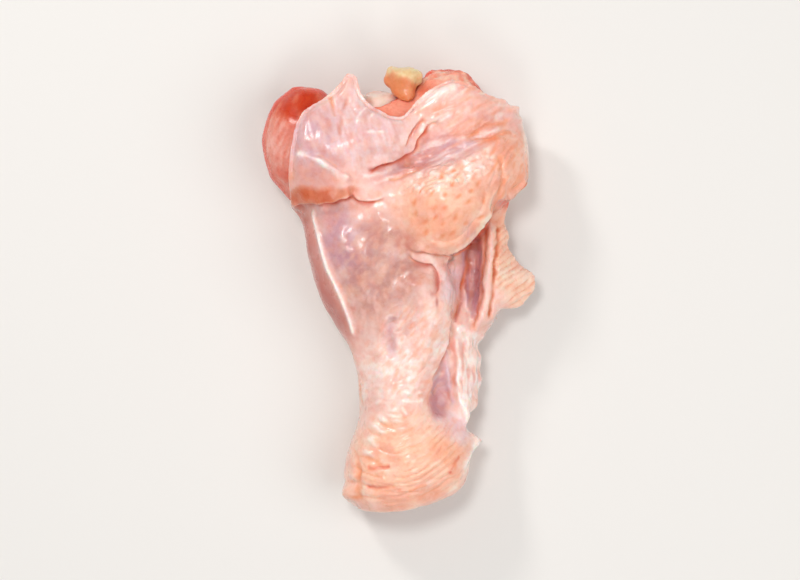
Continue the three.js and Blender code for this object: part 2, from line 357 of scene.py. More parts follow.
def inside(xy, centre, radii, turn=0, edge=0.35):
    """1 inside an ellipse in plan and 0 outside, with a soft edge that is a share of its radius."""
    return 1 - rise(ellipse(xy, centre, radii, turn), 1 - edge, 1 + edge)


def where_inside(co, region, values):
    """A value worked out for the points in a region, and faded out at its edge."""
    weight = inside(co[:, :2], **region)
    near = weight > 0.01
    weight[near] *= values(co[near])
    weight[~near] = 0
    return weight


def stroke(xy, path, width, fade=0.12):
    """1 on a path, falling off to each side, and towards its ends over a share of its length."""
    weight = np.zeros(len(xy))
    near, s, share, _ = beside(path, xy, 3 * width)
    ends = rise(share, 0, fade) * (1 - rise(share, 1 - fade, 1))
    weight[near] = ends * np.exp(-((s / width) ** 2))
    return weight


# Relief in the skin

DELTOID_EDGE = [
    (1.2, 8.8), (2.4, 7.9), (4.3, 7.4), (7.8, 6.9), (10, 7.1), (12, 7.9), (13.8, 9.3), (15.9, 11.8),
    (17.5, 14.1), (18.4, 16.2), (19.3, 17.4),
]
LOBE_EDGE = [(18.7, 17.2), (20, 17.5), (21.2, 17.6), (23.1, 18.4), (25, 20.4)]

# Folds, as a lip on the left of a path and a crease on its right. The lip is pushed over the crease.
FOLDS = [
    # the front sheet of skin over the shoulder's valley, and the small fold beside it
    dict(path=[(-6.2, 23.1), (-4.8, 24), (-3.1, 24.7), (-1.1, 25.3), (0.8, 26.4), (2.1, 27.4), (2.9, 28.9),
               (4, 30.4), (5.7, 32.5), (8.4, 33.8)],
         lip=0.65, lip_width=1.3, crease=0.7, crease_width=0.9, push=0.25),
    dict(path=[(0.4, 27.6), (1.4, 30), (2.7, 31.9), (4.6, 33.8)],
         lip=0.35, lip_width=0.7, crease=0.45, crease_width=0.6, push=0.2),
    # the crease across the front sheet, with a bright ridge below it
    dict(path=[(-8.8, 21), (-11.7, 22.6), (-14.3, 24.2), (-16.4, 25.3), (-20, 25.9)],
         lip=0.6, lip_width=0.7, crease=0.25, crease_width=1.1, push=0.1),
    # the roll of skin under the front sheet, with a smaller one next to it
    dict(path=[(-22.6, 17), (-18.1, 17.5), (-15.9, 17.4), (-13.4, 17.6), (-10.9, 18.2), (-9, 19.2)],
         lip=0.8, lip_width=2, crease=1, crease_width=1.2, push=0.6),
    dict(path=[(-9.2, 18.9), (-8, 17.8), (-6.4, 17.4), (-4.4, 17.6), (-2.8, 18.4)],
         lip=0.4, lip_width=1, crease=0.5, crease_width=0.8, push=0.3),
    # the lower edge of the deltoid, and of the rear lobe
    dict(path=DELTOID_EDGE, lip=0.35, lip_width=1.2, crease=1.1, crease_width=1, push=0.1),
    dict(path=LOBE_EDGE, lip=0.3, lip_width=1.3, crease=1, crease_width=1.2, push=0.1),
    # the hook of membrane under the deltoid
    dict(path=[(1.4, 7.2), (2.6, 6.4), (4.4, 5.5), (6.4, 5.1), (7.4, 4.2), (7.8, 2.8), (8, 1.4),
               (7.4, -0.6), (6, -1.3)],
         lip=0.5, lip_width=0.8, crease=0.6, crease_width=0.8, push=0.35),
    # the edge of the thick skin along the shaft
    dict(path=[(7.6, -21.6), (6, -19.6), (6.2, -16.8), (7.4, -14.2), (8.7, -11.9), (9.3, -8.9),
               (9.5, -6), (9.8, -3.6)],
         lip=0.4, lip_width=0.9, crease=0.8, crease_width=0.9, push=0.3),
    # the crown above the valley, and the valley's lower fold
    dict(path=[(8.6, 30.2), (12.7, 30.2), (15.9, 31.8), (18.4, 32.6), (21.4, 33)],
         lip=0.3, lip_width=1, crease=0.25, crease_width=0.7, push=0.1),
    dict(path=[(21.8, 31), (19.1, 30.1), (16.9, 29.1), (13.8, 28.3), (11.8, 27.8)],
         lip=0.3, lip_width=0.8, crease=0.3, crease_width=0.6, push=0.1),
]

TENDON = [(-17.2, 16.2), (-16.5, 13.5), (-15.4, 9), (-14.1, 4.6), (-12.6, 1.2), (-11.4, -1.4), (-10.3, -4.1),
          (-9.5, -6.5), (-8.7, -9.4)]
STRIP = [(18, 13.6), (17.8, 10), (17.8, 7.2), (17.3, 3.4), (17, 0.1), (16.6, -3), (15.7, -5.8), (15.1, -8.8)]
STRIP_LEFT = [(16.6, 12.4), (16.5, 8.4), (16.1, 4.4), (15.7, 1.5), (15.8, -1.3), (15.1, -3.9),
              (14.3, -6.5), (14, -8.4)]
STRIP_RIGHT = [(19.3, 13), (19, 10.2), (18.6, 6.2), (18.4, 2.5), (17.9, -1.1), (17.4, -4.1), (16.9, -6)]
PURPLE_GROOVE = [(15.2, 10.8), (15, 9), (14.8, 5.3), (14.5, 0.6), (14.1, -2.7), (13.9, -5.8)]
GROOVE_EDGE = [(13.6, 9), (13.3, 4.8), (12.6, 2.5), (11.9, 0.1), (11.5, -3), (11.1, -6)]
RUFFLE_CREST = [(11.7, -6.7), (11.2, -9), (11.2, -14), (11.4, -17.6), (11.6, -20.9), (13, -23.8),
                (13.6, -27.5), (14.2, -30), (13.3, -32.7), (11.8, -36)]
THIN_STRAND = [(9.6, -9), (9.2, -12.9), (9.3, -16.4), (9.8, -19.7), (10.6, -22.6)]
INNER_STRAND = [(12.6, 0.4), (12.8, -1.8), (13.3, -3.9), (13.5, -6.4)]
CENTRE_GROOVE = [(-1.4, -5), (-1.8, -9.2), (-1.6, -13.4)]
LOBE_VALLEY = [(18.6, 26.4), (19.9, 23.4), (19.5, 20.2), (18.2, 16.6), (17, 14.4)]
TIP_FOLD = [(-9.6, 38.4), (-11, 34.9), (-11.5, 32.1), (-11.4, 29.6)]

# Ridges and grooves whose sides are alike: how far up, how wide to each side, and the path
RIDGES = [
    (-0.35, 0.8, [(-15.6, 13), (-14.4, 9), (-13.1, 4.8), (-11.4, 1), (-9.6, -3)]),
    (-0.8, 1.8, [(-3, 22.9), (4.3, 25.3), (11.3, 28.1), (19, 31)]),
    (0.35, 0.4, [(-3, 21.6), (0.4, 22.8), (3.8, 24)]),
    (-0.35, 0.35, [(-2.6, 21.2), (1, 22.2), (4.4, 23.6)]),
    (0.5, 1.2, [(-1.5, 20.6), (4, 22.6), (9.4, 23.6), (13.5, 25), (17.4, 27.6), (21.8, 30)]),
    (-0.6, 1.1, CENTRE_GROOVE),
    (-0.9, 1, PURPLE_GROOVE),
    (-0.35, 0.35, GROOVE_EDGE),
    (0.45, 0.7, STRIP),
    (-0.5, 0.4, STRIP_LEFT),
    (-0.5, 0.4, STRIP_RIGHT),
    (0.4, 0.35, INNER_STRAND),
    (0.3, 0.35, THIN_STRAND),
    (0.6, 0.55, RUFFLE_CREST),
    (-0.5, 0.5, LOBE_VALLEY),
    (-0.25, 0.4, TIP_FOLD),
    (0.25, 0.5, [(-8.4, 39.6), (-8.2, 37), (-8.6, 34.4)]),
    (-0.3, 0.4, [(-13.6, 37.8), (-13, 35.6), (-12.6, 33.4)]),
    (0.35, 1.4, [(2.6, 34.6), (6.6, 37.8), (11.4, 39.6)]),
    (-0.35, 0.45, [(12.2, -9.4), (12.9, -12.6), (13.2, -16), (14, -19.4)]),
    (0.35, 0.5, [(13.4, -9.6), (14.4, -12.4), (14.4, -16), (15, -19)]),
    (-0.3, 0.4, [(-6.4, -34.2), (-5, -34.5), (-3.4, -34.3), (-1.8, -33.9)]),
    (-0.3, 0.4, [(-6.6, -38.1), (-3.8, -38.2), (-1.6, -38.1), (0.2, -38.5)]),
    (-0.2, 0.4, [(-3.2, -35.9), (-2, -36.1), (-0.8, -35.8)]),
    (-0.3, 0.45, [(-8.4, -31.6), (-8, -34.6), (-7.8, -38), (-7.6, -41)]),
]

# Round bumps and hollows: how far up, the centre, the radii and the turn
BUMPS = [
    (0.7, (3.7, 2), (3, 2.2), 8),
    (-1, (7.9, -18.6), (1.2, 4.4), -4),
    (-0.35, (-13, 30.4), (5, 4.4), 20),
    (-0.4, (22, 23.2), (2.2, 4), 25),
    (0.5, (22, 35), (1.1, 0.9), 20),
    (0.45, (21.6, 33.4), (1.2, 0.7), 10),
    (0.35, (14.4, 40.4), (0.8, 0.6), 0),
    (0.3, (-1.3, -23.3), (0.8, 0.35), 0),
    (0.35, (-1.2, -24.4), (1.3, 0.35), -8),
    (0.3, (-0.6, -25.3), (1, 0.3), -5),
    (0.3, (1, -23.7), (0.7, 0.3), -50),
    (0.4, (-3.4, -25), (0.9, 0.45), -30),
    (0.4, (-4.6, -26.4), (0.9, 0.5), -40),
    (0.35, (-3.5, -27.4), (0.8, 0.35), -10),
    (0.4, (-5.5, -28.9), (0.9, 0.6), 30),
    (0.35, (-4.8, -30.1), (0.7, 0.4), -30),
    (0.4, (-6.3, -31.5), (1, 0.5), -25),
    (0.4, (1.6, -19.8), (0.9, 0.5), -10),
    (0.3, (3.9, -19.8), (0.5, 0.3), 0),
    (0.3, (1.6, -21.5), (1.6, 0.4), 4),
    (0.3, (4, -21.5), (0.7, 0.35), 35),
    (0.25, (0.4, -26.7), (0.6, 0.25), 0),
    (0.25, (-4.3, -21.8), (0.5, 0.35), 30),
    (0.3, (-11, 9.9), (0.6, 1), 20),
    (0.3, (-10, 7.9), (0.8, 0.5), -25),
    (0.3, (3.8, 22.4), (0.8, 0.5), 10),
    (0.3, (6.5, 22.4), (1, 0.5), 0),
    (0.3, (9.1, 21.4), (0.7, 0.6), 0),
    (0.3, (9.9, 23.1), (0.9, 0.5), 25),
    (0.3, (13.6, 23.8), (0.9, 0.5), 30),
    (0.3, (16.9, 27.1), (1, 0.5), 28),
    (0.3, (4, 18.7), (0.6, 0.5), 0),
    (0.25, (6.1, 18.7), (0.6, 0.45), 0),
    (0.35, (5.6, 31.2), (0.9, 0.4), 35),
    (0.4, (7.9, 32.7), (0.9, 0.4), 30),
    (0.35, (9.4, 33.5), (0.7, 0.35), 30),
    (0.3, (-8.1, 32.8), (0.5, 0.6), 0),
    (0.3, (-6.6, 35.1), (0.3, 0.7), -40),
    (0.3, (-7.6, 34), (0.3, 0.7), -40),
    (0.3, (-5.4, 33.6), (0.3, 0.7), -40),
    (0.35, (-5.4, 30.4), (0.8, 0.35), 0),
    (0.35, (-3.6, 30.4), (0.8, 0.35), 0),
    (0.3, (1.1, 3), (0.9, 0.4), 35),
    (0.35, (12, -7.4), (0.7, 0.9), 0),
    (0.5, (-9.2, -34), (0.9, 0.8), 0),
    (0.5, (-9, -36), (0.8, 0.7), 0),
    (0.5, (-9.5, -39.7), (1.1, 1.7), 0),
]

# Bumps whose height is between these get a pale painted highlight, a glint, on their tops
GLINT_BUMPS = (0.2, 0.45)

# Places where the skin's outline runs out or in: the centre, the radii and the way
SHIFTS = [
    ((-9.6, -39.9), (1.6, 1.7), (-1.1, 0)),
    ((-9.6, -37.5), (1.2, 0.7), (0.5, 0)),
    ((14.9, -29.3), (1.8, 1.7), (1.5, 0)),
    ((-9, 40.8), (2.6, 2.4), (0.1, 0.8)),
    ((20.4, 36.9), (0.9, 0.8), (0.4, 0.5)),
    ((22.2, 35.2), (0.9, 0.8), (0.7, 0.3)),
    ((23, 33.2), (0.8, 0.7), (0.5, 0)),
    ((15, 39.8), (0.8, 0.8), (0.2, 0.5)),
    ((-10.4, 41.4), (1.2, 1), (-0.6, 0.4)),
    ((23.6, 21), (2.4, 2.6), (0.9, -0.1)),
    ((20.4, 15.6), (1.2, 1.8), (0.8, 0)),
    ((21.4, -5.6), (2.2, 1.8), (-1.3, 1.3)),
    ((15.8, -9.4), (0.9, 1), (0.6, 0)),
    ((17, -13), (0.9, 1), (0.7, 0)),
    ((16.6, -18.2), (0.9, 1), (0.6, 0)),
    ((16.4, -15.6), (0.8, 0.9), (-0.5, 0)),
]

# The regions of the skin, as ellipses in plan
DELTOID = dict(centre=(8.8, 15.8), radii=(9.2, 8.8), turn=10)
DELTOID_BROW = dict(centre=(9.5, 22.4), radii=(9, 2.8), turn=18)
REAR_LOBE = dict(centre=(20.8, 24.4), radii=(4.6, 7.4), turn=5)
CROWN = dict(centre=(11.5, 35.6), radii=(10, 5.6), turn=-14)
VALLEY = dict(centre=(8.6, 27.4), radii=(12, 2.8), turn=22)
FRONT_SHEET = dict(centre=(-9.6, 31), radii=(11, 7.6), turn=16)
PURPLE_SIDE = dict(centre=(-11.4, 9.6), radii=(4.6, 6.6), turn=16)
UPPER_SHAFT = dict(centre=(-4, 5), radii=(8, 9), turn=15)
MIDDLE_SHAFT = dict(centre=(-3, -4), radii=(8, 6), turn=0)
SHAFT = dict(centre=(3, -12), radii=(7.4, 9.6), turn=0)
LOWER_SHAFT = dict(centre=(-3, -17), radii=(6, 6.6), turn=0)
LILAC = dict(centre=(10, 1.2), radii=(2, 4.2), turn=-4)
GROOVE = dict(centre=(13.9, 3), radii=(2, 8.4), turn=4)
FLAP = dict(centre=(22.4, 4.6), radii=(4.4, 9.4), turn=12)
RUFFLE = dict(centre=(13.6, -15.6), radii=(2.8, 9.2), turn=0)
ELBOW = dict(centre=(1, -33.8), radii=(12, 10), turn=24)

# Puckers, as noise drawn out one way: region, height, length and width of a lump, and its turn
PUCKERS = [
    (DELTOID, 0.14, 3.2, 2.2, 20),
    (DELTOID_BROW, 0.45, 1.8, 1.2, 25),
    (REAR_LOBE, 0.28, 4, 1.2, 52),
    (CROWN, 0.26, 6, 1.3, 34),
    (VALLEY, 0.16, 6, 0.8, 23),
    (FRONT_SHEET, 0.08, 6.5, 1.5, 104),
    (UPPER_SHAFT, 0.05, 3, 1.6, 70),
    (SHAFT, 0.24, 3, 1.6, 50),
    (LOWER_SHAFT, 0.16, 3, 1.5, 15),
    (RUFFLE, 0.3, 4.5, 1.3, 96),
    (LILAC, 0.15, 3, 1, 80),
]

# The middle of the elbow's rings, which moves to the left further down, and how far apart the rings are
ELBOW_FAN = (-1, -21.5)
ELBOW_DRIFT = 0.17
ELBOW_ROW_LEFT, ELBOW_ROW_RIGHT = 2.45, 1.25
FLAP_RIB = 1.15
FLAP_TURN = 38


def fold_relief(xy, fold):
    """How far each point goes up, and how far across, for one fold."""
    up = np.zeros(len(xy))
    across = np.zeros((len(xy), 2))
    near, s, share, right = beside(fold["path"], xy, 6)
    ends = rise(share, 0, 0.14) * (1 - rise(share, 0.86, 1))
    lip_width, crease_width = fold["lip_width"], fold["crease_width"]
    lip = np.exp(-(np.where(s < 0, s / lip_width, s / (0.35 * crease_width)) ** 2))
    beyond = s - 0.7 * crease_width
    slope = np.where(beyond < 0, 0.6 * crease_width, 1.5 * crease_width)
    crease = np.where(s > 0, np.exp(-((beyond / slope) ** 2)), 0)
    up[near] = ends * (fold["lip"] * lip - fold["crease"] * crease)
    across[near] = (ends * fold["push"] * lip)[:, None] * right
    return up, across


def elbow_rows(co):
    """Rows of follicles round the elbow's bend, wide on the left and narrow on the right, and broken
    up by noise."""
    x, y, z = co.T
    x = x - ELBOW_FAN[0] - ELBOW_DRIFT * (y + 24)
    r = np.hypot(x, y - ELBOW_FAN[1])
    way = np.arctan2(y - ELBOW_FAN[1], x)
    wander = 0.5 * lumps(co, 5, 3) + 0.3 * lumps(co, 2.2, 5)
    wide = 1 - rise(x, -1.5, 2.5)
    rows = wide * ribs(r, ELBOW_ROW_LEFT, wander + 0.35) + (1 - wide) * ribs(r, ELBOW_ROW_RIGHT, wander)
    broken = noise_at(np.stack([way * r / 5, (r + wander) / 1.5, 0.2 * z], 1), 4)
    return 0.5 * rows + 0.5 * pillows(broken)


def flap_rows(co):
    """Rows of follicles that cross the hanging flap."""
    turn = math.radians(FLAP_TURN)
    across = co[:, 1] * math.cos(turn) - co[:, 0] * math.sin(turn)
    wander = 0.5 * lumps(co, 5, 6) + 0.12 * lumps(co, 1.4, 7)
    return 0.75 * ribs(across, FLAP_RIB, wander) + 0.25 * pillows(streaks(co, FLAP_TURN, 3, 1, 8))


# The follicles' pits on the deltoid: how many, how far apart, and over what oval
PIT_COUNT = 26
PIT_SPACING = 1.9
PIT_SPREAD = (7.6, 7.2)
PIT_SHIFT = 1.2


def follicles():
    """Pits scattered over the deltoid, no two closer than a spacing."""
    draw = random.Random(7)
    pits = []
    while len(pits) < PIT_COUNT:
        angle, r = draw.uniform(0, math.tau), math.sqrt(draw.random())
        x = DELTOID["centre"][0] + PIT_SHIFT + PIT_SPREAD[0] * r * math.cos(angle)
        y = DELTOID["centre"][1] + PIT_SPREAD[1] * r * math.sin(angle)
        if all(math.hypot(x - a, y - b) > PIT_SPACING for a, b, *_ in pits):
            pits.append((x, y, draw.uniform(0.3, 0.42), draw.uniform(0.5, 0.9), draw.uniform(30, 80)))
    return pits


# The skin's cut edge at the shoulder, and how it slants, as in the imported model
SKIN_EDGE = [
    (-22.6, 17), (-21.8, 22), (-21.2, 28), (-19.4, 33.8), (-14.6, 38.2), (-9.2, 42.2), (-7.4, 38.2),
    (-4.2, 34.2), (-0.2, 32.6), (2.4, 36), (6.2, 39.6), (10.6, 41.6), (16, 40.8), (24, 42),
]
CUT_TOP, CUT_BEND, UPPER_SLANT, LOWER_SLANT = 18, 12, 0.9, 0.25


def within_edge(co):
    """How far inside its cut edge each point of the skin lies."""
    z = co[:, 2]
    slant = (np.maximum(z, CUT_BEND) - CUT_TOP) * UPPER_SLANT + np.minimum(z - CUT_BEND, 0) * LOWER_SLANT
    flat = co[:, :2] - np.stack([np.zeros(len(co)), slant], 1)
    distance = np.full(len(co), 9.0)
    near, s, _, _ = beside(SKIN_EDGE, flat, 6)
    distance[near] = np.minimum(np.abs(s), 9)
    return distance


def skin_relief(co, n, outer):
    """The skin's folds, ridges and bumps, as a move of each point."""
    xy = co[:, :2]
    upper = outer * rise(n[:, 2], -0.05, 0.4)
    up = np.zeros(len(co))
    across = np.zeros((len(co), 2))
    loose = xy + wobble(co)
    strength = uneven(co)
    for fold in FOLDS:
        fold_up, fold_across = fold_relief(loose, fold)
        up += strength * fold_up
        across += fold_across
    for height, width, path in RIDGES:
        up += strength * height * stroke(loose, path, width)
    for height, centre, radii, turn in BUMPS:
        up += height * np.exp(-(ellipse(xy, centre, radii, turn) ** 2))
    up += 0.6 * stroke(xy, TENDON, 0.45, 0.06)
    for x, y, width, length, turn in follicles():
        up -= 0.14 * np.exp(-(ellipse(xy, (x, y), (length, width), turn) ** 2))
    for seed, (region, height, along, wide, turn) in enumerate(PUCKERS, 50):
        up += height * where_inside(co, region, lambda p: pillows(streaks(p, turn, along, wide, seed)) - 0.6)
    up += where_inside(co, dict(**ELBOW, edge=0.2), lambda p: 0.36 * (elbow_rows(p) - 0.5))
    up += where_inside(co, dict(**FLAP, edge=0.2), lambda p: 0.4 * (flap_rows(p) - 0.5))
    thin = (1 - rise(within_edge(co), 0.2, 3)) * rise(n[:, 2], 0.3, 0.8)
    all_over = 0.3 * lumps(co, 6, 9) + 0.09 * lumps(co, 2.2, 10) - 0.8 * thin
    lifted = n + np.array((0, 0, 0.8))
    lifted /= np.linalg.norm(lifted, axis=1)[:, None]
    move = lifted * (upper * up)[:, None] + n * (outer * all_over)[:, None]
    move[:, :2] += across * upper[:, None]
    for centre, radii, way in SHIFTS:
        move[:, :2] += np.outer(outer * np.exp(-(ellipse(xy, centre, radii, 0) ** 2)), way)
    return move


# Colour in the skin

# Some of these colours carry light: the palest is also laid as painted highlights and glints, and the dark
# red and the burnt orange as painted shade in creases, grooves and under lips
SKIN_COLOURS = {
    "base": 0xF2CBC0,
    "peach": 0xFCC6AA,
    "apricot": 0xF4A986,
    "pink": 0xF3B8AB,
    "salmon": 0xDB8F80,
    "brick": 0xBA5A4E,
    "mauve": 0xC6958B,
    "tan": 0xE4B8A4,
    "shaded_rust": 0xCC6238,
    "purple": 0xC093A2,
    "wine": 0x9C5258,
    "lilac": 0xE2C6CE,
    "red": 0xDB6048,
    "shaded_red": 0xA8453A,
    "white_and_highlight": 0xFFF3EE,
    "cream": 0xFFE8D6,
    "shell": 0xFDD6C0,
    "pore": 0xEE9A72,
}

# Colour, strength and region
PATCHES = [
    ("peach", 0.9, ELBOW),
    ("peach", 0.85, DELTOID),
    ("shell", 1, FLAP),
    ("apricot", 0.5, dict(centre=(20, 11), radii=(2.6, 5), turn=0, edge=0.5)),
    ("pink", 0.6, CROWN),
    ("apricot", 0.6, REAR_LOBE),
    ("mauve", 0.97, UPPER_SHAFT),
    ("purple", 0.75, dict(**PURPLE_SIDE, edge=0.6)),
    ("wine", 0.75, dict(**GROOVE, edge=0.5)),
    ("purple", 0.65, dict(**VALLEY, edge=0.7)),
    ("lilac", 0.6, FRONT_SHEET),
    ("lilac", 0.75, LILAC),
    ("purple", 0.55, dict(centre=(-17.4, 28), radii=(4.6, 7), turn=0, edge=0.6)),
    # Painted shade: the underside of the roll under the front sheet, darker orange where it lies in shadow
    ("shaded_rust", 0.95, dict(centre=(-15.4, 18.7), radii=(7, 1.5), turn=2)),
    ("salmon", 0.4, dict(centre=(-15.6, 21.8), radii=(7, 2.6), turn=-6, edge=0.6)),
    ("mauve", 0.45, MIDDLE_SHAFT),
    # Painted shade: the deltoid's lower side made darker apricot
    ("apricot", 0.35, dict(centre=(8, 11.6), radii=(7.4, 4), turn=10, edge=0.6)),
    ("salmon", 0.5, dict(centre=(0.6, 9), radii=(2, 2), turn=0)),
    ("salmon", 0.7, dict(centre=(7.9, -18.6), radii=(2, 5.4), turn=-4)),
    ("purple", 0.85, dict(centre=(7.9, -19.2), radii=(1.6, 5.2), turn=-4)),
    ("lilac", 0.7, dict(centre=(10.6, -26.4), radii=(3.4, 2.6), turn=-40)),
    ("apricot", 0.35, dict(centre=(9.4, -33), radii=(3, 5), turn=20, edge=0.6)),
    ("white_and_highlight", 0.7, RUFFLE),
    ("white_and_highlight", 0.4, LOWER_SHAFT),
    ("white_and_highlight", 0.3, SHAFT),
    ("pink", 0.45, dict(centre=(8, 30.8), radii=(5, 2), turn=10)),
    ("apricot", 0.45, dict(centre=(13.4, 31.4), radii=(4.6, 1.6), turn=10)),
]

# Colour, strength, length and width of a mottle, its turn and its region
EVERYWHERE = dict(centre=(0, 0), radii=(60, 60))
MOTTLES = [
    ("salmon", 0.25, 3.2, 3.2, 0, EVERYWHERE),
    ("white_and_highlight", 0.25, 3, 3, 0, EVERYWHERE),
    ("apricot", 0.2, 1.3, 1.3, 0, EVERYWHERE),
    ("purple", 0.15, 5, 3, 70, UPPER_SHAFT),
    ("tan", 0.5, 3, 1.8, 60, UPPER_SHAFT),
    ("tan", 0.4, 1.3, 0.8, 50, UPPER_SHAFT),
    ("purple", 0.15, 3.6, 2.2, 80, MIDDLE_SHAFT),
    ("base", 0.5, 2, 1, 100, MIDDLE_SHAFT),
    ("white_and_highlight", 0.4, 2.2, 1.1, 60, SHAFT),
    ("pore", 0.3, 1.8, 0.7, 50, SHAFT),
    ("white_and_highlight", 0.6, 3.4, 0.9, 96, RUFFLE),
    ("salmon", 0.45, 3.4, 0.8, 92, RUFFLE),
    ("purple", 0.7, 6, 0.6, 86, GROOVE),
    ("pink", 0.7, 5, 0.5, 84, GROOVE),
    ("white_and_highlight", 0.25, 5, 1.4, 104, FRONT_SHEET),
    ("salmon", 0.25, 4, 0.8, 112, FRONT_SHEET),
    # Painted highlight: pale streaks for the broad sheen along the crown
    ("white_and_highlight", 0.6, 6, 1, 36, CROWN),
    ("apricot", 0.45, 5, 0.9, 30, CROWN),
    ("white_and_highlight", 0.55, 6, 0.7, 24, VALLEY),
    ("salmon", 0.4, 6, 0.8, 20, VALLEY),
    # Painted highlight: pale glints on the bumps of the deltoid's brow
    ("white_and_highlight", 0.9, 1.5, 0.9, 25, DELTOID_BROW),
    ("white_and_highlight", 0.4, 2.4, 2, 0, DELTOID_BROW),
    ("pore", 0.5, 4, 0.8, 52, REAR_LOBE),
]

